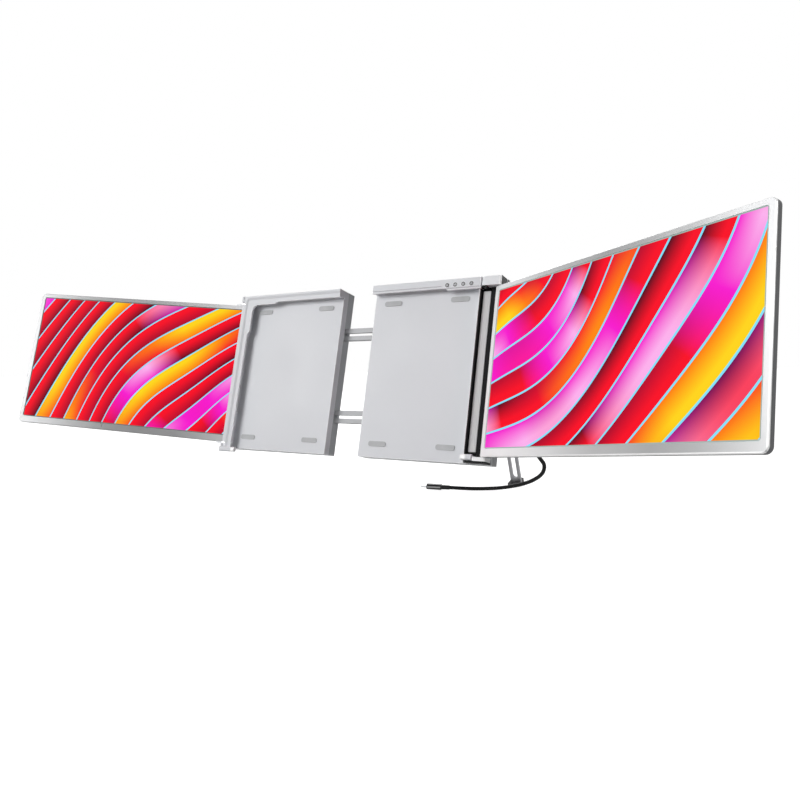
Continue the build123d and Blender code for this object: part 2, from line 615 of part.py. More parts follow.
# ---- the swinging hinge arm ---------------------------------------------------------------
def arm_outline():
    """Plan of the arm, round about its own axis."""
    outline = shape_of((ARM_LEFT, ARM_AXIS_Y), (ARM_AXIS_X, FRONT), (ARM_RIGHT, FRONT),
                       (ARM_RIGHT, ARM_BACK), (ARM_LEFT, ARM_BACK))
    outline = round_corner(outline, ARM_RIGHT, FRONT, ARM_ROUND)
    return outline + Pos(ARM_AXIS_X, ARM_AXIS_Y) * Circle(ARM_BARREL)


def arm_top():
    """Block above the right monitor."""
    body = column(arm_outline(), ARM_TOP_BOTTOM, BAR_TOP)
    body = chamfer(body.edges().group_by(Axis.Z)[-1], EDGE)
    body -= rod_z(ARM_AXIS_X, ARM_AXIS_Y, ARM_TOP_BOTTOM - 1, BAR_TOP - 2 * PIN_CAP, PIN_R + PIN_RUN)
    return body - right_pins()


def arm_foot_plate():
    """Plate under the lower bearing, with the pin that turns in it."""
    plate_z = FRAME_BOTTOM + ARM_FOOT_T
    return column(arm_outline(), FRAME_BOTTOM, plate_z) - arm_lower_pin() - right_pins()


def arm_bottom():
    """Block on the foot plate, beside the bearing, that carries the monitor."""
    z0 = FRAME_BOTTOM + ARM_FOOT_T
    rise = column(arm_outline(), z0, ARM_FOOT_TOP)
    rise -= rod_z(ARM_AXIS_X, ARM_AXIS_Y, z0, ARM_FOOT_TOP, BEARING_REACH)
    rise -= block(ARM_LEFT - 1, ARM_AXIS_X + LEAF_R + 0.6, ARM_AXIS_Y, ARM_BACK + 1, z0, ARM_FOOT_TOP)
    return rise - right_pins()


def arm_web():
    """Upright plate that joins the arm's two blocks."""
    y0 = WEB_Y - WEB_T
    high = LEAF_TOP - LEAF_T - EDGE
    web = block(ARM_LEFT + HINGE_GAP, WEB_RIGHT, y0, WEB_Y, WEB_LOW, high)
    web += block(ARM_AXIS_X + LEAF_R + 2.2, WEB_RIGHT, y0, WEB_Y, high, ARM_TOP_BOTTOM)
    return web + block(ARM_AXIS_X + BEARING_REACH, WEB_RIGHT, y0, WEB_Y, ARM_FOOT_TOP, WEB_LOW)


def arm_panel():
    """Satin panel on the web's front."""
    y1 = WEB_Y - WEB_T
    outline = panel(ARM_LEFT + HINGE_GAP, WEB_RIGHT - ARM_PANEL_EDGE, NECK_TOP + ARM_PANEL_LOW,
                    ARM_TOP_BOTTOM - ARM_PANEL_TOP, 0.6)
    slab = plate(outline, y1 - ARM_PANEL_T, y1)
    return chamfer(slab.edges().group_by(Axis.Y)[0], ARM_PANEL_T / 2)


def right_pins():
    """Pins fixed in the arm's blocks that the right monitor turns on."""
    reach = MON_CORNER + BUSH_GAP + BUSH_H
    top = rod_z(RIGHT_AXIS_X, RIGHT_AXIS_Y, MON_TOP - reach, ARM_TOP_BOTTOM + PIN_GRIP, RIGHT_PIN_R)
    low = rod_z(RIGHT_AXIS_X, RIGHT_AXIS_Y, ARM_FOOT_TOP - PIN_GRIP, MON_BOTTOM + reach, RIGHT_PIN_R)
    return top + low


# ---- a monitor, in its hinge's frame ------------------------------------------------------
def monitor_outline(x0, x1, side, shrink=0.0):
    """Monitor's outline, with large corners away from the hinge and small ones at it."""
    z0, z1 = MON_BOTTOM + shrink, MON_TOP - shrink
    x0, x1 = x0 + shrink, x1 - shrink
    outline = shape_of((x0, z0), (x1, z0), (x1, z1), (x0, z1))
    far, near = (x1, x0) if side > 0 else (x0, x1)
    for z in (z0, z1):
        outline = round_corner(outline, far, z, MON_CORNER - shrink)
        if MON_INNER_CORNER > shrink:
            outline = round_corner(outline, near, z, MON_INNER_CORNER - shrink)
    return outline


def monitor(side, inset, face):
    """Pieces of one monitor.  The hinge axis is at x = y = 0 and the monitor runs towards side.

    inset is the axis' distance from the inner edge, face is the y of the picture side.
    """
    x0, x1 = sorted((-side * inset, side * (MON_W - inset)))
    a0, a1 = x0 + BEZEL_SIDE, x1 - BEZEL_SIDE
    z0, z1 = ACTIVE_TOP - ACTIVE_H, ACTIVE_TOP
    outer = monitor_outline(x0, x1, side)
    pieces = {}

    lap = BEZEL_LAP
    bezel = plate(outer, face, face + BEZEL_T)
    bezel = chamfer(bezel.edges().group_by(Axis.Y)[0], 0.7)
    window = panel(a0 - lap, a1 + lap, z0 - lap, z1 + lap, WINDOW_R)
    pieces["bezel"] = bezel - plate(window, face - 1, face + BEZEL_T + 1)

    lap = BEZEL_LAP - 0.1
    glass = panel(a0 - lap, a1 + lap, z0 - lap, z1 + lap, WINDOW_R)
    y_panel = face + PANEL_SET
    y_light = y_panel + PANEL_T
    y_board = y_light + LIGHT_T
    pieces["panel"] = plate(glass, y_panel, y_light)
    pieces["backlight"] = plate(glass, y_light, y_board)

    back = face + MON_T
    cover = plate(outer, face + BEZEL_T, back)
    cover = fillet(cover.edges().group_by(Axis.Y)[-1], MON_BACK_ROUND)
    inner = panel(x0 + SHELL_T, x1 - SHELL_T, MON_BOTTOM + SHELL_T, MON_TOP - SHELL_T, MON_CORNER - SHELL_T)
    cover -= plate(inner, face + BEZEL_T - 1, back - SHELL_T)
    far = x1 - POST_INSET if side > 0 else x0 + POST_INSET
    low_post, high_post = MON_BOTTOM + POST_INSET, MON_TOP - POST_INSET
    posts = [((x0 + x1) / 2, low_post), (far, low_post), (far, high_post)]
    for x, z in posts:
        cover += rod_y(x, z, face + BEZEL_T, back - SHELL_T, POST_R)
    for x, z in posts:
        cover -= screw_hole(x, z, back, SCREEN_SCREW_L, SCREEN_SCREW_R)
    pieces["cover"] = cover
    pieces["screws"] = joined([screw(x, z, back, SCREEN_SCREW_L, SCREEN_SCREW_R) for x, z in posts])

    middle = (x0 + x1) / 2
    low = MON_BOTTOM + SCREEN_BOARD_RISE
    pieces["board"] = block(middle - SCREEN_BOARD_L / 2, middle + SCREEN_BOARD_L / 2, y_board,
                            y_board + SCREEN_BOARD_T, low, low + SCREEN_BOARD_H)
    return pieces


def left_monitor():
    """Left monitor with the leaves that carry it on the frame's knuckles."""
    pieces = monitor(-1, BEZEL_SIDE, LEFT_FACE_SET)
    inner = BEZEL_SIDE - 1.0
    y0 = LEFT_FACE_SET + 0.6
    y1 = LEFT_FACE_SET + MON_T - BEZEL_T
    leaves = []
    pins = []
    for z0, z1, pin_z0, pin_z1 in (
            (MON_TOP, MON_TOP + LEAF_T, MON_TOP, BAR_TOP - PIN_CAP - 0.4),
            (MON_BOTTOM - LEAF_T, MON_BOTTOM, FRAME_BOTTOM + PIN_CAP + 0.4, MON_BOTTOM)):
        outline = shape_of((-LEAF_L, y0), (-EYE_R, y0), (-EYE_R, 0), (EYE_R, 0), (EYE_R, y0), (inner, y0),
                           (inner, y1), (-LEAF_L, y1))
        leaf = column(outline + Circle(EYE_R), z0, z1)
        leaves.append(leaf - rod_z(0, 0, z0 - 1, z1 + 1, PIN_R))
        pins.append(rod_z(0, 0, pin_z0, pin_z1, PIN_R))
    pieces["hinge_leaves"] = joined(leaves)
    pieces["hinge_pins"] = joined(pins)
    return pieces


def right_monitor():
    """Right monitor, bored for the arm's pins, with its bushes."""
    pieces = monitor(1, RIGHT_AXIS_INSET, -MON_T / 2)
    bore = RIGHT_PIN_R + PIN_RUN
    x0 = -RIGHT_AXIS_INSET + SHELL_T
    x1 = BEZEL_SIDE - BEZEL_LAP - RIGHT_AXIS_INSET
    y0 = -MON_T / 2 + BEZEL_T
    y1 = MON_T / 2 - SHELL_T
    top = MON_TOP - MON_CORNER
    low = MON_BOTTOM + MON_CORNER
    bushes = []
    for z0, z1 in ((top - BUSH_H, top), (low, low + BUSH_H)):
        bush = block(x0, x1, y0, y1, z0, z1)
        bushes.append(bush - rod_z(0, 0, z0 - 1, z1 + 1, bore))
    cover = pieces["cover"]
    for z0, z1 in ((top - 1, MON_TOP + 1), (MON_BOTTOM - 1, low + 1)):
        cover -= rod_z(0, 0, z0, z1, bore + 0.15)
    pieces["cover"] = cover
    pieces["bushes"] = joined(bushes)
    return pieces


# ---- buttons, boards and sockets ----------------------------------------------------------
def button_ring(x):
    """Collar in the bar's front with a button in it."""
    y0 = FRONT - BUTTON_PROUD
    ring = rod_y(x, BUTTON_Z, y0, 0, RING_R)
    return ring - rod_y(x, BUTTON_Z, y0 - 1, 1, BUTTON_R + 0.25)


def button(x):
    """Domed button with a stem to its switch."""
    cap = rod_y(x, BUTTON_Z, FRONT - BUTTON_PROUD, -0.6, BUTTON_R)
    cap = fillet(cap.edges().group_by(Axis.Y)[0], EDGE)
    return cap + rod_y(x, BUTTON_Z, -0.6, 0.6, BUTTON_R / 2)


def button_board():
    """Circuit board across the bar, with a dome switch behind each button."""
    y0 = 0.6 + BUTTON_TRAVEL + 1.0
    edge = BUTTON_PITCH / 2
    x0, x1 = BUTTON_XS[0] - edge, BUTTON_XS[-1] + edge
    board = block(x0, x1, y0, y0 + BUTTON_BOARD_T, 1.4, BAR_TOP - WALL - 0.4)
    domes = [rod_y(x, BUTTON_Z, y0 - 0.9, y0, 0.7) for x in BUTTON_XS]
    return board + joined(domes)


def main_board():
    """Display controller board on the front shell's inside, with its larger chips."""
    y_wall = LID_SLOT + WALL
    y0 = y_wall + BOARD_POST
    y1 = y0 + BOARD_T
    x0, x1 = GAP_RIGHT + BOARD_GAP_END, LID_RIGHT - BOARD_EDGE
    z0, z1 = RAIL_Z[1] + RAIL_W / 2 + BOARD_RAIL_GAP, RAIL_Z[0] - RAIL_W / 2 - BOARD_RAIL_GAP
    board = block(x0, x1, y0, y1, z0, z1)
    long_side, short_side = x1 - x0, z1 - z0
    for across, up, size in ((0.3, 0.65, 0.2), (0.6, 0.3, 0.15), (0.8, 0.7, 0.12)):
        x, z, half = x0 + across * long_side, z0 + up * short_side, size * short_side / 2
        board += block(x - half, x + half, y1, y1 + CHIP_T, z - half, z + half)
    for x in (x0 + 4, x1 - 4):
        for z in (z0 + 4, z1 - 4):
            board += rod_y(x, z, y_wall, y0, 1.6)
    return board


def socket_body(length, wall):
    """USB-C outline along -X from the origin, grown by wall on each side."""
    outline = RectangleRounded(9.4 + 2 * wall, 3.6 + 2 * wall, 1.75 + wall)
    return Rot(0, -90, 0) * extrude(outline, length)


def usb_socket(z):
    """USB-C receptacle: a steel shell with its tongue."""
    shell = socket_body(SOCKET_L, 0.0) - Pos(0.5, 0, 0) * socket_body(SOCKET_L - 0.5, -0.3)
    tongue = block(0.4 - SOCKET_L, -1.2, -0.35, 0.35, -3.3, 3.3)
    return Pos(ARM_RIGHT, SOCKET_Y, z) * (shell + tongue)


# ---- kickstand ----------------------------------------------------------------------------
def kick_sleeve():
    """Channel that turns on the pivot and takes the leg.  Built hanging straight down."""
    low = -SLEEVE_L
    sleeve = block(-SLEEVE_W / 2, SLEEVE_W / 2, -SLEEVE_T / 2, SLEEVE_T / 2, low, 0)
    sleeve = chamfer(sleeve.edges().filter_by(Axis.Z), 0.8)
    sleeve += rod_x(0, 0, -SLEEVE_W / 2, SLEEVE_W / 2, SLEEVE_T / 2)
    half = LEG_W / 2 + SLEEVE_RUN
    deep = LEG_T / 2 + SLEEVE_RUN
    sleeve -= block(-half, half, -deep, deep, low - 1, -SLEEVE_T / 2 - 0.9)
    window = panel(-LEG_SLOT_W / 2, LEG_SLOT_W / 2, low + LEG_GRIP, -LEG_GRIP, LEG_SLOT_W / 2 - 0.1)
    sleeve -= plate(window, 0, SLEEVE_T)
    sleeve -= rod_x(0, 0, -SLEEVE_W, SLEEVE_W, KICK_PIN_R + PIN_RUN)
    return sleeve - rod_y(0, low + RIVET_RISE, -SLEEVE_T, SLEEVE_T, RIVET_R)


def kick_rivet():
    """Rivet across the sleeve, through the leg's slot."""
    reach = SLEEVE_T / 2 + 0.2
    return rod_y(0, -SLEEVE_L + RIVET_RISE, -reach, reach, RIVET_R)


def leg_length():
    """Reach from the pivot to the table along the leaning leg."""
    pivot = DOWN * Pos(0, KICK_Y, KICK_Z)
    return (pivot.position.Z + TABLE_DROP) / math.cos(math.radians(KICK_LEAN))


def kick_leg():
    """Slotted leg, hanging straight down from the pivot."""
    high = -SLEEVE_L + LEG_GRIP
    low = -leg_length() + FOOT_H / 2
    outline = panel(-LEG_W / 2, LEG_W / 2, low, high, 1.5)
    slot = panel(-LEG_SLOT_W / 2, LEG_SLOT_W / 2, low + FOOT_H, high - 4, LEG_SLOT_W / 2 - 0.01)
    return plate(outline, -LEG_T / 2, LEG_T / 2) - plate(slot, -LEG_T, LEG_T)


def kick_foot():
    """Rubber shoe, waisted, cut level with the table."""
    half = FOOT_D / 2
    waist = half - FOOT_WAIST
    top = FOOT_H + 1
    middle = FOOT_H / 2
    wide = half - 0.6
    profile = shape_of((-half, -half), (half, -half), (half, 0.0), (waist, middle), (waist, middle + 1),
                       (wide, top), (-wide, top), (-waist, middle + 1), (-waist, middle), (-half, 0.0))
    shoe = Rot(90, 0, 90) * extrude(profile, FOOT_W / 2, both=True)
    shoe = Pos(0, 0, -leg_length()) * shoe
    table = Pos(0, 0, -leg_length()) * Rot(-KICK_LEAN, 0, 0) * block(-50, 50, -50, 50, -30, 0)
    return shoe - table - kick_leg()


def kick_place():
    """Moves the hanging kickstand to its pivot, leaning back."""
    pivot = DOWN * Pos(KICK_X, KICK_Y, KICK_Z)
    return Pos(*pivot.position) * Rot(KICK_LEAN, 0, 0)


# ---- cord, in the leaned frame ------------------------------------------------------------
def cord_points():
    """Corners of the cord's route, from the plug in the lower socket to the laptop's plug."""
    start = DOWN * Pos(ARM_RIGHT + PLUG_OUT + PLUG_L + RELIEF_L, SOCKET_Y, SOCKET_Z[0])
    return [tuple(start.position + Vector(*step)) for step in CORD_STEPS]


def corner_radii(points):
    """Largest tidy arc at each corner of a route."""
    radii = []
    for a, b, c in zip(points, points[1:], points[2:]):
        first = Vector(*b) - Vector(*a)
        second = Vector(*c) - Vector(*b)
        half = math.radians(first.get_angle(second)) / 2
        radii.append(0.45 * min(first.length, second.length) / math.tan(half))
    return radii


def cord():
    """Plain tube of straight runs and tangent arcs."""
    points = cord_points()
    radii = corner_radii(points)
    path = FilletPolyline(*points, radius=radii)
    start = Plane(points[0], z_dir=path % 0)
    tube = sweep(start * Circle(CORD_D / 2), path)
    print("cord radii", [round(r, 1) for r in radii], "length", round(path.length, 1),
          "volume ratio", round(tube.volume / (math.pi * CORD_D ** 2 / 4 * path.length), 4))
    return tube


def plug(at, direction, wide):
    """Moulded plug and its metal contact, pointing along direction.  The cord enters at 'at'."""
    rounding = PLUG_H / 2 - 0.3
    neck = RectangleRounded(PLUG_W - 2.4, PLUG_H - 1.0, rounding - 0.5)
    relief = loft([Circle(CORD_D / 2 + 0.4), Pos(0, 0, RELIEF_L) * neck])
    body = extrude(RectangleRounded(PLUG_W, PLUG_H, rounding), PLUG_L, dir=(0, 0, 1))
    body = fillet(body.edges().group_by(Axis.Z)[0] + body.edges().group_by(Axis.Z)[-1], 0.6)
    body = relief + Pos(0, 0, RELIEF_L) * body
    shell = extrude(RectangleRounded(CONTACT_W, CONTACT_H, 1.2), CONTACT_L, dir=(0, 0, 1))
    mouth = RectangleRounded(CONTACT_W - 0.6, CONTACT_H - 0.6, 0.9)
    shell -= Pos(0, 0, 1.0) * extrude(mouth, CONTACT_L, dir=(0, 0, 1))
    place = Plane(at, x_dir=wide, z_dir=direction)
    return place * body, place * Pos(0, 0, RELIEF_L + PLUG_L) * shell


# ---- write --------------------------------------------------------------------------------
def write(name, shape):
    export_step(shape, f"parts/{name}.step")


def write_leaned(name, shape):
    write(name, DOWN * shape)


def build():
    os.makedirs("parts", exist_ok=True)

    front, back = left_half()
    write_leaned("left_frame", front)
    write_leaned("left_back_cover", back)
    write_leaned("left_lid_pads", lid_pads(LID_LEFT, GAP_LEFT, LID_LEFT))
    write_leaned("slide_rails", joined([slide_rail(z) for z in RAIL_Z]) - rail_stops())
    write_leaned("rail_seats", rail_seats())
    write_leaned("rail_stops", rail_stops())
    write_leaned("left_cover_screws", joined([screw(x, z) for x, z in LEFT_SCREWS]))

    front, back = right_half()
    write_leaned("right_frame", front)
    write_leaned("right_back_cover", back)
    write_leaned("right_lid_pads", lid_pads(GAP_RIGHT, LID_RIGHT, LID_RIGHT))
    write_leaned("rail_guides", rail_guides())
    write_leaned("right_cover_screws", joined([screw(x, z) for x, z in RIGHT_SCREWS]))
    write_leaned("hinge_bay_liner", bay_liner())
    write_leaned("arm_hinge_leaf", top_leaf())
    write_leaned("arm_upper_pin", arm_upper_pin())

    write_leaned("arm_lower_pin", arm_lower_pin())
    write_leaned("arm_top_block", arm_top())
    write_leaned("arm_bottom_block", arm_bottom())
    write_leaned("arm_foot_plate", arm_foot_plate())
    write_leaned("arm_web", arm_web())
    write_leaned("arm_panel", arm_panel())
    write_leaned("right_screen_pins", right_pins())

    for side, name in ((-1, "left"), (1, "right")):
        pin, tip = clip(side)
        write_leaned(f"{name}_clip_pin", pin)
        write_leaned(f"{name}_clip_tip", tip)

    turn = Pos(LEFT_AXIS_X, LEFT_AXIS_Y, 0) * Rot(0, 0, LEFT_ANGLE)
    for name, shape in left_monitor().items():
        write_leaned(f"left_screen_{name}", turn * shape)
    turn = Pos(RIGHT_AXIS_X, RIGHT_AXIS_Y, 0) * Rot(0, 0, -RIGHT_ANGLE)
    for name, shape in right_monitor().items():
        write_leaned(f"right_screen_{name}", turn * shape)

    write_leaned("button_rings", joined([button_ring(x) for x in BUTTON_XS]))
    for i, x in enumerate(BUTTON_XS):
        write_leaned(f"button_{i + 1}", button(x))
    write_leaned("button_board", button_board())
    write_leaned("main_board", main_board())
    write_leaned("usb_sockets", joined([usb_socket(z) for z in SOCKET_Z]))

    write("cable", cord())
    points = cord_points()
    body, contact = plug(points[0], Vector(-1, 0, 0), (DOWN * Pos(0, 0, 1)).position)
    write("extender_plug", body)
    write("extender_plug_contact", contact)
    ahead = Vector(*points[-1]) - Vector(*points[-2])
    body, contact = plug(points[-1], ahead, ahead.cross(Vector(0, 0, 1)))
    write("laptop_plug", body)
    write("laptop_plug_contact", contact)

    write_leaned("kickstand_pin", recess_pin())
    for name, shape in (("kickstand_sleeve", kick_sleeve()), ("kickstand_rivet", kick_rivet()),
                        ("kickstand_leg", kick_leg()), ("kickstand_foot", kick_foot())):
        write(name, kick_place() * shape)


if __name__ == "__main__":
    build()
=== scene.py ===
"""Looks of the laptop screen extender: materials, cord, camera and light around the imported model."""
import bpy
import math
from mathutils import Matrix, Vector


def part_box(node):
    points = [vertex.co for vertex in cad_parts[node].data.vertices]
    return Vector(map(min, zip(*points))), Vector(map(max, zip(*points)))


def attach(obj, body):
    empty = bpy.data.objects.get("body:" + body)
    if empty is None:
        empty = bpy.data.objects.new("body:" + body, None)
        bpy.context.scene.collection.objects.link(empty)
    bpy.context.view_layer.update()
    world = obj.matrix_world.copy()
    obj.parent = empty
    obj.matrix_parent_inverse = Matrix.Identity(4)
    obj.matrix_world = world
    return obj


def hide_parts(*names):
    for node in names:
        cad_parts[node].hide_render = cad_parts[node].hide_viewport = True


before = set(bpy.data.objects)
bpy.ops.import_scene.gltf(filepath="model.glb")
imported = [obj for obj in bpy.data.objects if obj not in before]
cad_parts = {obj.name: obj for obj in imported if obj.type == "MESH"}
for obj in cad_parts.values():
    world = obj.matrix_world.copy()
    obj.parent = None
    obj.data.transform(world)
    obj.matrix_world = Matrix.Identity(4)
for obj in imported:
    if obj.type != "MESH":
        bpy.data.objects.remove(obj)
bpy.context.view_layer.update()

# ---- sizes of the part as in its own source, metres and degrees ---------------------------
TILT = 13.4                                             # lean of the frame and the monitors
FLOOR_Z = -0.230
ACTIVE_W, ACTIVE_H = 0.3094, 0.174                      # a monitor's picture
BEZEL_SIDE, BEZEL_TOP, BEZEL_BOTTOM = 0.0065, 0.006, 0.0095
MON_W = ACTIVE_W + 2 * BEZEL_SIDE
MON_H = ACTIVE_H + BEZEL_TOP + BEZEL_BOTTOM
MON_TOP = -0.0017                                       # top edge, up the lean from the origin
LEFT_AXIS, LEFT_ANGLE = (-0.184, -0.00125), 21.6        # X and Y of the hinge, turn about it at rest
RIGHT_AXIS, RIGHT_ANGLE = (0.1996, 0.0028), -26.4
LEFT_INSET, RIGHT_INSET = BEZEL_SIDE, 0.004             # hinge axis from the monitor's inner edge
LEFT_FACE, RIGHT_FACE = 0.0035, -0.004                  # picture behind the hinge axis
RELIEF_L, PLUG_L = 0.009, 0.017                         # laptop plug's strain relief and body

LEAN = Matrix.Rotation(math.radians(-TILT), 4, "X")
UP = (LEAN @ Vector((0, 0, 1))).normalized()
RIGHTWARD = (1, 0, 0)

# ---- cord, the route as in the part's source ----------------------------------------------
CORD_D = 0.0042
CORD_POINTS = [
    (0.2294, -0.0228, -0.1734), (0.2414, -0.0228, -0.1734), (0.2489, -0.0233, -0.1783),
    (0.2528, -0.0218, -0.1863), (0.2559, -0.0145, -0.1934), (0.2527, -0.0098, -0.2026),
    (0.2440, -0.0036, -0.2098), (0.2302, 0.0031, -0.2169), (0.2129, 0.0095, -0.2227),
    (0.1916, 0.0145, -0.2277), (0.1760, 0.0020, -0.2278), (0.1600, -0.0069, -0.2277),
    (0.1416, -0.0138, -0.2269),
]
CORD_STEPS, CORD_ROUNDNESS = 16, 6                      # between two points, and round the section
CORD_ORDER = 3

# ---- camera, metres and degrees -----------------------------------------------------------
CAMERA_AT = (0.539, -0.7395, -0.0924)
YAW, PITCH, ROLL = 32.52, -2.39, -0.66
CLIP_START = 0.01
LENS, SENSOR = 32.92, 36.0                              # millimetres

# ---- floor and light ----------------------------------------------------------------------
FLOOR_HALF = 30.0
FLOOR_TONES = ((0.20,) * 3, (0.22,) * 3)
FLOOR_CLOUD = 0.5
FLOOR_ROUGH = 0.6
FLOOR_GLOW = 0.86                                       # only in what the camera sees
SKY_LEFT, SKY_RIGHT = 0.85, 0.0                         # light from the world's left and right
SKY_START, SKY_END = -1.0, 0.4                          # X of the directions between which it fades
WHITE = (1.0, 1.0, 1.0)

# name, place, aim, size, watts, and whether only reflections show it
LAMPS = (
    ("key", (-2.3, -2.9, 1.6), (0.05, 0, -0.1), (2.0, 2.0), 96.0, False),
    ("back", (-1.8, 2.8, 1.3), (0.05, 0, -0.1), (2.0, 2.0), 45.0, False),
    ("top", (0.0, 0.3, 1.5), (0, 0, -0.1), (1.5, 1.5), 6.0, False),
    ("edge_strip", (2.2, -1.1, 1.0), (0.1, 0, -0.1), (0.35, 1.3), 160.0, True),
)

# ---- tones, linear red, green and blue ----------------------------------------------------
SILVER = (0.70, 0.715, 0.745)
COVER_GREY = (0.42, 0.43, 0.45)
# pale tone of the painted highlight along convex edges
PAINTED_EDGE_HIGHLIGHT = (0.90, 0.91, 0.92)
BLOCK_SILVER = (0.785, 0.80, 0.825)
# lighter copy of the block silver for the bottom block: painted light against the shade under the shelf
BLOCK_SILVER_PAINTED_LIGHT = (0.90, 0.902, 0.905)
# painted shade for the top block's right end face, then a painted highlight for the blocks' rounded front
# right edge
PAINTED_END_SHADE = (0.02, 0.02, 0.021)
PAINTED_CORNER_HIGHLIGHT = (0.94, 0.94, 0.945)
WEB_BLACK = (0.008, 0.008, 0.009)
DEEP_BLACK = (0.006, 0.006, 0.007)
PANEL_GREY = (0.68, 0.68, 0.685)
# pale tone of the painted highlight on the right bezel's sides and bottom
BEZEL_PAINTED_HIGHLIGHT = (0.80, 0.80, 0.80)
BEZEL_SPECK = (0.25, 0.25, 0.26)
MONITOR_BLACK = (0.060, 0.062, 0.068)
INNER_WHITE = (0.72, 0.73, 0.75)
TIP_WHITE = (0.90, 0.90, 0.90)
RING_GREY = (0.07, 0.072, 0.076)
BUTTON_GREY = (0.17, 0.175, 0.185)
STEEL = (0.56, 0.57, 0.585)
RAIL_GREY = (0.36, 0.365, 0.375)
SCREW_BLACK = (0.06, 0.06, 0.065)
LEG_GREY = (0.24, 0.24, 0.25)
NYLON_BLACK = (0.03, 0.03, 0.033)
SHOE_BLACK = (0.045, 0.042, 0.045)
PAD_GREY = (0.44, 0.45, 0.46)
CORD_BLACK = (0.004, 0.004, 0.0045)
# pale tone of the painted highlight on the laptop plug
PLUG_PAINTED_HIGHLIGHT = (0.42, 0.42, 0.42)
MASK_GREENS = ((0.01, 0.11, 0.05), (0.014, 0.14, 0.065))
TRACK_GREEN = (0.03, 0.22, 0.11)
MAROON = (0.07, 0.001, 0.012)
CRIMSON = (0.52, 0.002, 0.03)
RED = (0.95, 0.004, 0.02)
MAGENTA = (0.93, 0.01, 0.62)
PINK = (0.98, 0.45, 0.86)
ORANGE = (1.0, 0.20, 0.004)
YELLOW = (1.0, 0.66, 0.01)
RIM_BLUE = (0.22, 0.76, 0.98)
LEFT_GASKET = (0.13, 0.16, 0.15)
RIGHT_GASKET = (0.36, 0.46, 0.43)
BLACK = (0.0, 0.0, 0.0)

# ---- textures, noise scales per metre -----------------------------------------------------
CLOUD = (18.0, 4.0)                                     # scale and detail of slow changes
FINE_DETAIL = 2.0
NOISE_RANGE = (0.3, 0.7)                                # nearly all of a noise lies between these
GRAIN_BUMP, GRAIN_DEPTH = 0.1, 0.00004
MIX_INPUTS, MIX_OUTPUT = (0, 6, 7), 2                   # a colour mix's factor, two colours and result

# satin
CLOUD_SHARE, GRAIN_SHARE = 0.7, 0.3
SATIN_ROUGH = (0.04, 0.06)                              # below and above the roughness
EDGE_HIGHLIGHT_WIDTH = 0.0011
EDGE_OCCLUSION = (0.55, 0.95)                           # at a sharp edge and on an open face
EDGE_SAMPLES = 6
BLOCK_HIGHLIGHT_WIDTH, BLOCK_SHADE_DEPTH = 0.0032, 0.0003               # width of the painted highlight at the blocks' front right, depth of the painted shade on the end face

# bezels
BEZEL_GRAIN = 1600.0
BEZEL_ROUGH = (0.27, 0.36)
BEZEL_METAL = 0.3
BEZEL_SPECKS = 0.08                                     # largest share of the specks in the tone
BEZEL_TINT = (1.0, 1.01, 1.02)
BEZEL_REACH = 0.6 * MON_W                               # ends of the painted sheen, from the monitor's middle
BEZEL_SLANT = 0.34                                      # shift of the painted sheen across for each metre up
BEZEL_RISE = (ACTIVE_H + 2 * BEZEL_TOP - MON_H) / 2     # monitor's middle above the picture's
CHAMFER_HIGHLIGHT_WIDTH = 0.0015
# painted sheen and shade, from the left end to the right one: place as a share of the way, and grey level
LEFT_BEZEL_PAINTED_SHEEN = (
    (0.04, 0.55), (0.21, 0.36), (0.38, 0.24), (0.5, 0.22), (0.62, 0.27), (0.83, 0.5), (0.96, 0.75),
)
RIGHT_BEZEL_PAINTED_SHEEN = (
    (0.08, 0.88), (0.25, 0.70), (0.42, 0.45), (0.58, 0.34), (0.69, 0.375), (0.83, 0.5), (0.93, 0.64),
)

# plug with a painted highlight
PLUG_GRAIN = 1200.0
PLUG_SHADES = (0.8, 1.2)
PLUG_ROUGH = (0.36, 0.46)
PLUG_GLOSS = 0.2
PLUG_HIGHLIGHT_WIDTH, PLUG_HIGHLIGHT_END = 0.0018, 0.001                # painted highlight's width, its ends from the plug's

# brushed metal
LEVEL_LINES, UPRIGHT_LINES = (1.0, 1.0, 30.0), (30.0, 1.0, 1.0)
LINE_NOISE = (180.0, 4.0)
LINE_SHADES = (0.86, 1.1)
LINE_ROUGH = (0.08, 0.1)                                # below and above the roughness
LINE_BUMP, LINE_DEPTH = 0.12, 0.00003

# rubber
DUST = (60.0, 5.0)
DUST_SHADES = (0.8, 1.35)
DUST_ROUGH = (0.06, 0.08)                               # below and above the roughness
CELL_BUMP, CELL_DEPTH = 0.15, 0.00005

# circuit boards
TRACK_SCALE = 260.0
CIRCUIT_ROUGH = 0.35

# ---- pictures, metres from each picture's middle ------------------------------------------
LEFT_ARCS, LEFT_PITCH = (0.26, -0.21), 0.021            # middle of the arcs, and from arc to arc
RIGHT_ARCS, RIGHT_PITCH = (-0.22, 0.20), 0.026
SWELL_TURNS, SWELL_SHIFT, SWELL = 7.0, 18.0, 0.006      # waves in a full turn, shift per metre out, height
DRIFT_TURNS, DRIFT = 3.1, 0.22                          # the hue's waves in a full turn, and their height
ARC_FADE, ARC_RIM = 0.7, 0.925                          # where in an arc the fade ends and the rim starts
HUE_PLACES = (0.0, 0.38, 0.48, 0.58, 0.66, 0.80, 0.90, 1.0)
GLOW_TONES = (RED, RED, MAGENTA, PINK, RED, RED, ORANGE, YELLOW)
DEEP_TONES = (MAROON, CRIMSON, MAGENTA, MAGENTA, MAROON, CRIMSON, RED, ORANGE)
GASKET_OVERLAP = 0.0006
DISPLAY_LEVEL = 0.97
DISPLAY_UNLIT = 0.97                                    # how far the surface itself is black
DISPLAY_GRAIN = 900.0
DISPLAY_ROUGH = (0.42, 0.5)
DISPLAY_GLOSS = 0.03


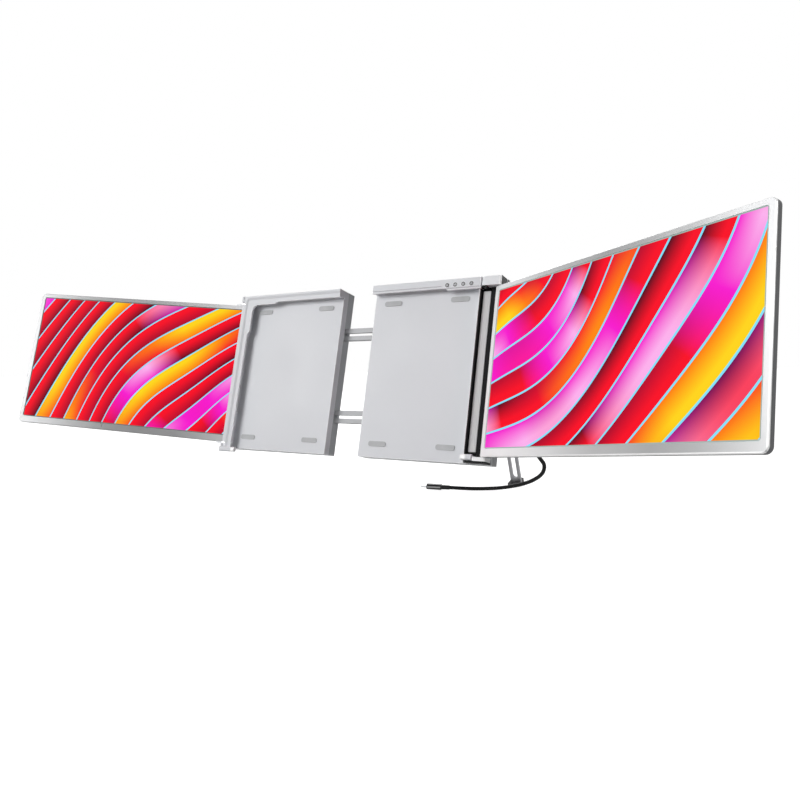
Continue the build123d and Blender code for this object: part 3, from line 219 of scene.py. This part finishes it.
# ---- camera and cord ----------------------------------------------------------------------
def add_camera():
    data = bpy.data.cameras.new("camera")
    data.lens = LENS
    data.sensor_width = SENSOR
    data.clip_start = CLIP_START
    cam = bpy.data.objects.new("camera", data)
    bpy.context.collection.objects.link(cam)
    yaw = Matrix.Rotation(math.radians(YAW), 4, "Z")
    pitch = Matrix.Rotation(math.radians(90 + PITCH), 4, "X")
    roll = Matrix.Rotation(math.radians(ROLL), 4, "Z")
    cam.matrix_world = Matrix.Translation(CAMERA_AT) @ yaw @ pitch @ roll
    bpy.context.scene.camera = cam


def add_cord():
    curve = bpy.data.curves.new("cord", "CURVE")
    curve.dimensions = "3D"
    curve.resolution_u = CORD_STEPS
    curve.bevel_depth = 1.0
    curve.bevel_resolution = CORD_ROUNDNESS
    spline = curve.splines.new("NURBS")
    spline.points.add(len(CORD_POINTS) - 1)
    for point, place in zip(spline.points, CORD_POINTS):
        point.co = (*place, 1.0)
        point.radius = CORD_D / 2
    spline.order_u = CORD_ORDER
    spline.use_endpoint_u = True
    cord = bpy.data.objects.new("cord", curve)
    bpy.context.collection.objects.link(cord)
    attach(cord, "right_bracket")
    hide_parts("cable")
    return cord


# ---- node helpers -------------------------------------------------------------------------
def shade(tone, factor):
    return tuple(min(1.0, level * factor) for level in tone)


class Look:
    """Short calls for building the nodes of one material or of the world."""

    def __init__(self, owner, shader="Principled BSDF"):
        owner.use_nodes = True
        self.owner = owner
        self.tree = owner.node_tree
        self.shader = self.tree.nodes[shader]

    def add(self, kind, **settings):
        node = self.tree.nodes.new(kind)
        for key, value in settings.items():
            setattr(node, key, value)
        return node

    def feed(self, socket, value):
        """Links a socket to another node's output, or sets it to a number, vector or tone."""
        if isinstance(value, bpy.types.NodeSocket):
            self.tree.links.new(value, socket)
        elif socket.type == "RGBA":
            socket.default_value = (*value, 1.0)
        else:
            socket.default_value = value

    def set(self, **values):
        """Feeds the shader's sockets, with _ for the spaces in their names."""
        for key, value in values.items():
            self.feed(self.shader.inputs[key.replace("_", " ")], value)

    def place(self):
        return self.add("ShaderNodeTexCoord").outputs["Object"]

    def stretched(self, scale):
        """Object coordinates scaled by a vector, for grain that runs one way."""
        mapping = self.add("ShaderNodeMapping")
        self.feed(mapping.inputs["Scale"], scale)
        self.feed(mapping.inputs["Vector"], self.place())
        return mapping.outputs["Vector"]

    def noise(self, scale, detail, vector=None):
        node = self.add("ShaderNodeTexNoise")
        self.feed(node.inputs["Scale"], scale)
        self.feed(node.inputs["Detail"], detail)
        self.feed(node.inputs["Vector"], vector or self.place())
        return node.outputs["Fac"]

    def math(self, operation, *values, clamp=False):
        node = self.add("ShaderNodeMath", operation=operation, use_clamp=clamp)
        for socket, value in zip(node.inputs, values):
            self.feed(socket, value)
        return node.outputs["Value"]

    def wave(self, angle, turns, phase, height):
        """Height times the sine of angle times turns plus phase."""
        inner = self.math("ADD", self.math("MULTIPLY", angle, turns), phase)
        return self.math("MULTIPLY", self.math("SINE", inner), height)

    def between(self, value, low, high, to_low=0.0, to_high=1.0):
        """Maps low to to_low and high to to_high, and holds these beyond both ends."""
        node = self.add("ShaderNodeMapRange")
        for name, source in (("Value", value), ("From Min", low), ("From Max", high),
                             ("To Min", to_low), ("To Max", to_high)):
            self.feed(node.inputs[name], source)
        return node.outputs["Result"]

    def mix(self, factor, first, second):
        node = self.add("ShaderNodeMix", data_type="RGBA")
        for index, value in zip(MIX_INPUTS, (factor, first, second)):
            self.feed(node.inputs[index], value)
        return node.outputs[MIX_OUTPUT]

    def mottle(self, pattern, tone, dark, light):
        """A tone times dark to light, as a pattern goes from 0 to 1."""
        return self.mix(pattern, shade(tone, dark), shade(tone, light))

    def ramp(self, factor, stops):
        """Colour ramp through pairs of a place and a tone."""
        node = self.add("ShaderNodeValToRGB")
        elements = node.color_ramp.elements
        while len(elements) < len(stops):
            elements.new(0.5)   # moved below
        for element, (place, tone) in zip(elements, stops):
            element.position = place
            element.color = (*tone, 1.0)
        self.feed(node.inputs["Fac"], factor)
        return node.outputs["Color"]

    def rough(self, noise, low, high):
        """Uneven roughness from low to high."""
        self.set(Roughness=self.between(noise, *NOISE_RANGE, low, high))

    def bump(self, height, strength, depth):
        node = self.add("ShaderNodeBump")
        self.feed(node.inputs["Strength"], strength)
        self.feed(node.inputs["Distance"], depth)
        self.feed(node.inputs["Height"], height)
        self.set(Normal=node.outputs["Normal"])

    def along(self, middle, direction):
        """Distance from the middle in one direction."""
        away = self.add("ShaderNodeVectorMath", operation="SUBTRACT")
        self.feed(away.inputs[0], self.place())
        self.feed(away.inputs[1], middle)
        dot = self.add("ShaderNodeVectorMath", operation="DOT_PRODUCT")
        self.feed(dot.inputs[0], away.outputs["Vector"])
        self.feed(dot.inputs[1], direction)
        return dot.outputs["Value"]

    def outside(self, across, above, half_width, half_height):
        """1 beyond a rectangle round the middle, 0 within it."""
        beside = self.math("GREATER_THAN", self.math("ABSOLUTE", across), half_width)
        beyond = self.math("GREATER_THAN", self.math("ABSOLUTE", above), half_height)
        return self.math("MAXIMUM", beside, beyond)

    def convex_edges(self, width):
        """1 along the outward edges of the solid, 0 on its open faces."""
        node = self.add("ShaderNodeAmbientOcclusion", inside=True, samples=EDGE_SAMPLES)
        self.feed(node.inputs["Distance"], width)
        return self.between(node.outputs["AO"], *EDGE_OCCLUSION, 1.0, 0.0)

    def seen(self):
        """1 for what the camera sees, straight or by reflection or through glass, 0 for light."""
        path = self.add("ShaderNodeLightPath")
        seen = path.outputs["Is Camera Ray"]
        for kind in ("Is Glossy Ray", "Is Transmission Ray"):
            seen = self.math("MAXIMUM", seen, path.outputs[kind])
        return seen


def new_look(name):
    return Look(bpy.data.materials.new(name))


# ---- materials ----------------------------------------------------------------------------
def satin(name, tone, rough, grain, spread, metal=0.0, bump=GRAIN_BUMP, coat=0.0, gloss=0.5,
          rim=False, painted_tones=()):
    """Fine-grained finish: cloudy tone, uneven roughness and a bead-blasted bump.

    A rim paints a highlight along the convex edges. Each of the painted tones is a place along X and the
    tone from there to the right, here a painted highlight and a painted shade.
    """
    look = new_look(name)
    cloud = look.noise(*CLOUD)
    fine = look.noise(grain, FINE_DETAIL)
    pattern = look.math("ADD", look.math("MULTIPLY", cloud, CLOUD_SHARE),
                        look.math("MULTIPLY", fine, GRAIN_SHARE))
    color = look.mottle(pattern, tone, 1 - spread, 1 + spread)
    # painted highlight: with rim, the convex edges are lightened towards a pale tone
    if rim:
        color = look.mix(look.convex_edges(EDGE_HIGHLIGHT_WIDTH), color, PAINTED_EDGE_HIGHLIGHT)
    for start, painted_tone in painted_tones:
        past = look.math("GREATER_THAN", look.along((start, 0, 0), RIGHTWARD), 0.0)
        color = look.mix(past, color, painted_tone)
    look.rough(cloud, rough - SATIN_ROUGH[0], rough + SATIN_ROUGH[1])
    look.bump(fine, bump, GRAIN_DEPTH)
    look.set(Base_Color=color, Metallic=metal, Coat_Weight=coat, Specular_IOR_Level=gloss)
    return look.owner


def bezel(name, middle, right, sheen_levels, chamfer_highlight=None):
    """Satin aluminium with a slanted grey ramp of painted reflection, lighter towards the ends, and a
    painted highlight on a pale strip beside and below it.
    """
    look = new_look(name)
    across = look.along(middle, right)
    above = look.along(middle + UP * BEZEL_RISE, UP)
    slanted = look.math("ADD", across, look.math("MULTIPLY", above, BEZEL_SLANT))
    # painted reflection: the ramp lightens and darkens the bezel across its width
    sheen_greys = [(place, tuple(level * tint for tint in BEZEL_TINT)) for place, level in sheen_levels]
    color = look.ramp(look.between(slanted, -BEZEL_REACH, BEZEL_REACH), sheen_greys)
    fine = look.noise(BEZEL_GRAIN, FINE_DETAIL)
    color = look.mix(look.between(fine, *NOISE_RANGE, 0.0, BEZEL_SPECKS), color, BEZEL_SPECK)
    # painted highlight: a pale strip along the sides and the bottom, for the light on the bezel's rounded
    # rim
    if chamfer_highlight:
        side = look.math("GREATER_THAN", look.math("ABSOLUTE", across), MON_W / 2 - CHAMFER_HIGHLIGHT_WIDTH)
        below = look.math("LESS_THAN", above, CHAMFER_HIGHLIGHT_WIDTH - MON_H / 2)
        color = look.mix(look.math("MAXIMUM", side, below), color, chamfer_highlight)
    look.rough(look.noise(*CLOUD), *BEZEL_ROUGH)
    look.bump(fine, GRAIN_BUMP, GRAIN_DEPTH)
    look.set(Base_Color=color, Metallic=BEZEL_METAL)
    return look.owner


def highlighted_plug(name, tone, highlight):
    """Moulded black, with a painted highlight as a light stripe along the plug's narrow sides."""
    look = new_look(name)
    start, end = Vector(CORD_POINTS[-2]), Vector(CORD_POINTS[-1])
    ahead = (end - start).normalized()
    upward = ahead.cross(Vector((0, 0, 1))).cross(ahead).normalized()
    middle = end + ahead * (RELIEF_L + PLUG_L / 2)
    off_highlight = look.outside(look.along(middle, ahead), look.along(middle, upward),
                            PLUG_L / 2 - PLUG_HIGHLIGHT_END, PLUG_HIGHLIGHT_WIDTH / 2)
    fine = look.noise(PLUG_GRAIN, FINE_DETAIL)
    # painted highlight: a pale stripe along the middle of the plug
    color = look.mix(off_highlight, highlight, look.mottle(fine, tone, *PLUG_SHADES))
    look.rough(fine, *PLUG_ROUGH)
    look.bump(fine, GRAIN_BUMP, GRAIN_DEPTH)
    look.set(Base_Color=color, Specular_IOR_Level=PLUG_GLOSS)
    return look.owner


def brushed(name, tone, lines=LEVEL_LINES, rough=0.32, metal=1.0):
    """Brushed metal with fine lines."""
    look = new_look(name)
    pattern = look.noise(*LINE_NOISE, look.stretched(lines))
    look.rough(pattern, rough - LINE_ROUGH[0], rough + LINE_ROUGH[1])
    look.bump(pattern, LINE_BUMP, LINE_DEPTH)
    look.set(Base_Color=look.mottle(pattern, tone, *LINE_SHADES), Metallic=metal)
    return look.owner


def rubber(name, tone, rough, cell=900.0, gloss=0.5):
    """Fine-celled skin with a little dust."""
    look = new_look(name)
    cells = look.add("ShaderNodeTexVoronoi")
    look.feed(cells.inputs["Scale"], cell)
    look.feed(cells.inputs["Vector"], look.place())
    dust = look.noise(*DUST)
    look.rough(dust, rough - DUST_ROUGH[0], rough + DUST_ROUGH[1])
    look.bump(cells.outputs["Distance"], CELL_BUMP, CELL_DEPTH)
    look.set(Base_Color=look.mottle(dust, tone, *DUST_SHADES), Specular_IOR_Level=gloss)
    return look.owner


def circuit(name):
    """Solder mask with faint tracks."""
    look = new_look(name)
    tracks = look.add("ShaderNodeTexBrick")
    for socket, value in (("Scale", TRACK_SCALE), ("Color1", MASK_GREENS[0]), ("Color2", MASK_GREENS[1]),
                          ("Mortar", TRACK_GREEN), ("Vector", look.place())):
        look.feed(tracks.inputs[socket], value)
    look.set(Base_Color=tracks.outputs["Color"], Roughness=CIRCUIT_ROUGH)
    return look.owner


def display(name, middle, right, arcs, pitch, gasket):
    """Lit picture of broad arcs round one far point, each with its own hue and a pale blue rim."""
    look = new_look(name)
    across = look.along(middle, right)
    above = look.along(middle, UP)
    offsets = [look.math("SUBTRACT", place, far) for place, far in zip((across, above), arcs)]
    squares = [look.math("MULTIPLY", offset, offset) for offset in offsets]
    radius = look.math("SQRT", look.math("ADD", *squares))
    angle = look.math("ARCTAN2", offsets[1], offsets[0])
    swell = look.wave(angle, SWELL_TURNS, look.math("MULTIPLY", radius, SWELL_SHIFT), SWELL)
    arc = look.math("DIVIDE", look.math("ADD", radius, swell), pitch)
    ring = look.math("FLOOR", arc)
    part = look.math("FRACT", arc)

    # every ring has its own place between red, magenta and orange, drifting along the ring
    pick = look.add("ShaderNodeTexWhiteNoise", noise_dimensions="1D")
    look.feed(pick.inputs["W"], ring)
    drift = look.wave(angle, DRIFT_TURNS, ring, DRIFT)
    hue = look.math("ADD", pick.outputs["Value"], drift, clamp=True)
    glow = look.ramp(hue, list(zip(HUE_PLACES, GLOW_TONES)))
    deep = look.ramp(hue, list(zip(HUE_PLACES, DEEP_TONES)))
    picture = look.mix(look.between(part, 0.0, ARC_FADE), deep, glow)
    picture = look.mix(look.math("GREATER_THAN", part, ARC_RIM), picture, RIM_BLUE)

    border = look.outside(across, above, ACTIVE_W / 2 - GASKET_OVERLAP, ACTIVE_H / 2 - GASKET_OVERLAP)
    picture = look.mix(border, picture, gasket)
    look.rough(look.noise(DISPLAY_GRAIN, FINE_DETAIL), *DISPLAY_ROUGH)
    look.set(Base_Color=look.mix(DISPLAY_UNLIT, picture, BLACK), Emission_Color=picture,
             Emission_Strength=DISPLAY_LEVEL, Specular_IOR_Level=DISPLAY_GLOSS)
    return look.owner


# ---- what wears what ----------------------------------------------------------------------
def dress(material, *names):
    """Gives CAD nodes a material."""
    for name in names:
        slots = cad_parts[name].data.materials
        slots.clear()
        slots.append(material)


def sides(name):
    return f"left_{name}", f"right_{name}"


def dress_frame():
    """Both halves of the sliding frame, with their covers, pads, pegs, rails and buttons."""
    # rim=True paints a highlight along the frame's convex edges
    dress(satin("silver", SILVER, rough=0.36, grain=1500.0, spread=0.03, gloss=0.3, rim=True),
          *sides("frame"))
    dress(satin("cover_grey", COVER_GREY, rough=0.5, grain=1100.0, spread=0.05, bump=0.2),
          *sides("back_cover"))
    dress(satin("white_plastic", TIP_WHITE, rough=0.25, grain=1000.0, spread=0.02, bump=0.05, coat=0.4),
          *sides("clip_tip"))
    dress(satin("ring_grey", RING_GREY, rough=0.3, grain=1000.0, spread=0.05, metal=0.2), "button_rings")
    dress(satin("button_grey", BUTTON_GREY, rough=0.28, grain=1000.0, spread=0.06, bump=0.05, coat=0.3),
          "button_1", "button_2", "button_3", "button_4")
    dress(rubber("pad_silicone", PAD_GREY, rough=0.6), *sides("lid_pads"))
    dress(brushed("rail_steel", RAIL_GREY, UPRIGHT_LINES, rough=0.5, metal=0.15), "slide_rails")


def dress_arm():
    """The right monitor's hinge arm, with a painted highlight down the front right of its blocks and a
    painted shade on the top block's right end face.
    """
    block_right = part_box("arm_top_block")[1][0]
    # painted highlight down the blocks' rounded front right edge, and near-black painted shade on the top
    # block's right end face
    corner_highlight = (block_right - BLOCK_HIGHLIGHT_WIDTH, PAINTED_CORNER_HIGHLIGHT)
    end_shade = (block_right - BLOCK_SHADE_DEPTH, PAINTED_END_SHADE)
    # rim=True paints a highlight along both blocks' convex edges
    dress(satin("block_silver", BLOCK_SILVER, rough=0.22, grain=1500.0, spread=0.03, gloss=0.25, rim=True,
                painted_tones=(corner_highlight, end_shade)), "arm_top_block")
    # the bottom block wears a lighter copy of the silver as painted light
    dress(satin("block_silver_painted_light", BLOCK_SILVER_PAINTED_LIGHT, rough=0.22, grain=1500.0, spread=0.03, gloss=0.4, rim=True,
                painted_tones=(corner_highlight,)), "arm_bottom_block")
    # painted shade: the hinge leaf wears this black to stand for the shade under the top block
    dress(satin("web_black", WEB_BLACK, rough=0.5, grain=900.0, spread=0.2, gloss=0.06),
          "arm_web", "arm_foot_plate", "arm_hinge_leaf")
    dress(satin("panel_grey", PANEL_GREY, rough=0.5, grain=1300.0, spread=0.05, gloss=0.15), "arm_panel")


def screen_axes(axis, angle, side, inset, face):
    """Middle of a monitor's picture, and the direction to its right."""
    turn = Matrix.Rotation(math.radians(angle), 4, "Z")
    hinge = LEAN @ Matrix.Translation((*axis, 0)) @ turn
    across = side * (BEZEL_SIDE - inset + ACTIVE_W / 2)
    middle = hinge @ Vector((across, face, MON_TOP - BEZEL_TOP - ACTIVE_H / 2))
    return middle, (hinge.to_3x3() @ Vector(RIGHTWARD)).normalized()


def dress_monitors():
    """Both monitors, from the picture to the back."""
    left = screen_axes(LEFT_AXIS, LEFT_ANGLE, -1, LEFT_INSET, LEFT_FACE)
    right = screen_axes(RIGHT_AXIS, RIGHT_ANGLE, 1, RIGHT_INSET, RIGHT_FACE)
    dress(bezel("left_bezel_silver", *left, LEFT_BEZEL_PAINTED_SHEEN), "left_screen_bezel")
    dress(bezel("right_bezel_silver", *right, RIGHT_BEZEL_PAINTED_SHEEN, BEZEL_PAINTED_HIGHLIGHT), "right_screen_bezel")
    dress(display("left_picture", *left, LEFT_ARCS, LEFT_PITCH, LEFT_GASKET), "left_screen_panel")
    dress(display("right_picture", *right, RIGHT_ARCS, RIGHT_PITCH, RIGHT_GASKET), "right_screen_panel")
    dress(satin("monitor_back", MONITOR_BLACK, rough=0.5, grain=1100.0, spread=0.08, bump=0.2),
          *sides("screen_cover"))
    dress(satin("inner_white", INNER_WHITE, rough=0.4, grain=800.0, spread=0.03),
          *sides("screen_backlight"))


def dress_stand():
    """The kickstand's leg and its shoe."""
    dress(brushed("leg_metal", LEG_GREY, UPRIGHT_LINES, rough=0.4), "kickstand_leg")
    dress(rubber("shoe_rubber", SHOE_BLACK, rough=0.62), "kickstand_foot")


def dress_cord(cord):
    """The cord and the plugs at its ends."""
    dress(satin("plug_black", DEEP_BLACK, rough=0.4, grain=1200.0, spread=0.2, gloss=0.2), "extender_plug")
    dress(highlighted_plug("plug_black_painted_highlight", DEEP_BLACK, PLUG_PAINTED_HIGHLIGHT), "laptop_plug")
    cord.data.materials.append(rubber("cord_black", CORD_BLACK, rough=0.5, cell=1500.0, gloss=0.12))


def dress_small_parts():
    """Pins, screws, liners, bushes and boards of every sub-part."""
    dress(brushed("steel", STEEL), "arm_upper_pin", "arm_lower_pin", "right_screen_pins",
          "left_screen_hinge_pins", "left_screen_hinge_leaves", *sides("clip_pin"), "kickstand_pin",
          "kickstand_rivet", "rail_stops", "usb_sockets", "extender_plug_contact", "laptop_plug_contact")
    dress(brushed("screw_black", SCREW_BLACK), *sides("cover_screws"), *sides("screen_screws"))
    # painted shade: the hinge bay liner is a black sheet that stands for the shade in the hinge bay
    dress(satin("liner_black", DEEP_BLACK, rough=0.45, grain=900.0, spread=0.2, gloss=0.15),
          "hinge_bay_liner", "kickstand_sleeve")
    dress(satin("nylon", NYLON_BLACK, rough=0.5, grain=800.0, spread=0.1),
          "rail_guides", "rail_seats", "right_screen_bushes")
    dress(circuit("circuit"), *sides("screen_board"), "button_board", "main_board")


# ---- floor and light ----------------------------------------------------------------------
def add_floor():
    """A floor that looks nearly white but throws only a little light back up."""
    mesh = bpy.data.meshes.new("floor")
    corners = [(x * FLOOR_HALF, y * FLOOR_HALF, FLOOR_Z)
               for x, y in ((-1, -1), (1, -1), (1, 1), (-1, 1))]
    mesh.from_pydata(corners, [], [(0, 1, 2, 3)])
    floor = bpy.data.objects.new("floor", mesh)
    bpy.context.collection.objects.link(floor)
    look = new_look("floor")
    look.set(Base_Color=look.mix(look.noise(FLOOR_CLOUD, FINE_DETAIL), *FLOOR_TONES),
             Roughness=FLOOR_ROUGH, Emission_Color=WHITE,
             Emission_Strength=look.between(look.seen(), 0.0, 1.0, 0.0, FLOOR_GLOW))
    mesh.materials.append(look.owner)


def add_world():
    """White where it is seen; as light, a sky that fades from the left to the right."""
    world = bpy.data.worlds.new("world")
    look = Look(world, "Background")
    split = look.add("ShaderNodeSeparateXYZ")
    look.feed(split.inputs["Vector"], look.add("ShaderNodeTexCoord").outputs["Generated"])
    sky = look.between(split.outputs["X"], SKY_START, SKY_END, SKY_LEFT, SKY_RIGHT)
    look.set(Color=WHITE, Strength=look.between(look.seen(), 0.0, 1.0, sky, 1.0))
    bpy.context.scene.world = world


def add_lamp(name, place, aim, size, watts, only_reflections):
    data = bpy.data.lights.new(name, "AREA")
    data.shape = "RECTANGLE"
    data.energy = watts
    data.size, data.size_y = size
    lamp = bpy.data.objects.new(name, data)
    lamp.location = place
    lamp.rotation_mode = "QUATERNION"
    lamp.rotation_quaternion = (Vector(aim) - Vector(place)).to_track_quat("-Z", "Y")
    lamp.visible_diffuse = not only_reflections
    bpy.context.collection.objects.link(lamp)


# ---- build --------------------------------------------------------------------------------
add_camera()
cord = add_cord()
add_floor()
add_world()
for lamp in LAMPS:
    add_lamp(*lamp)
dress_frame()
dress_arm()
dress_monitors()
dress_stand()
dress_cord(cord)
dress_small_parts()
bpy.context.scene.view_settings.view_transform = "Standard"
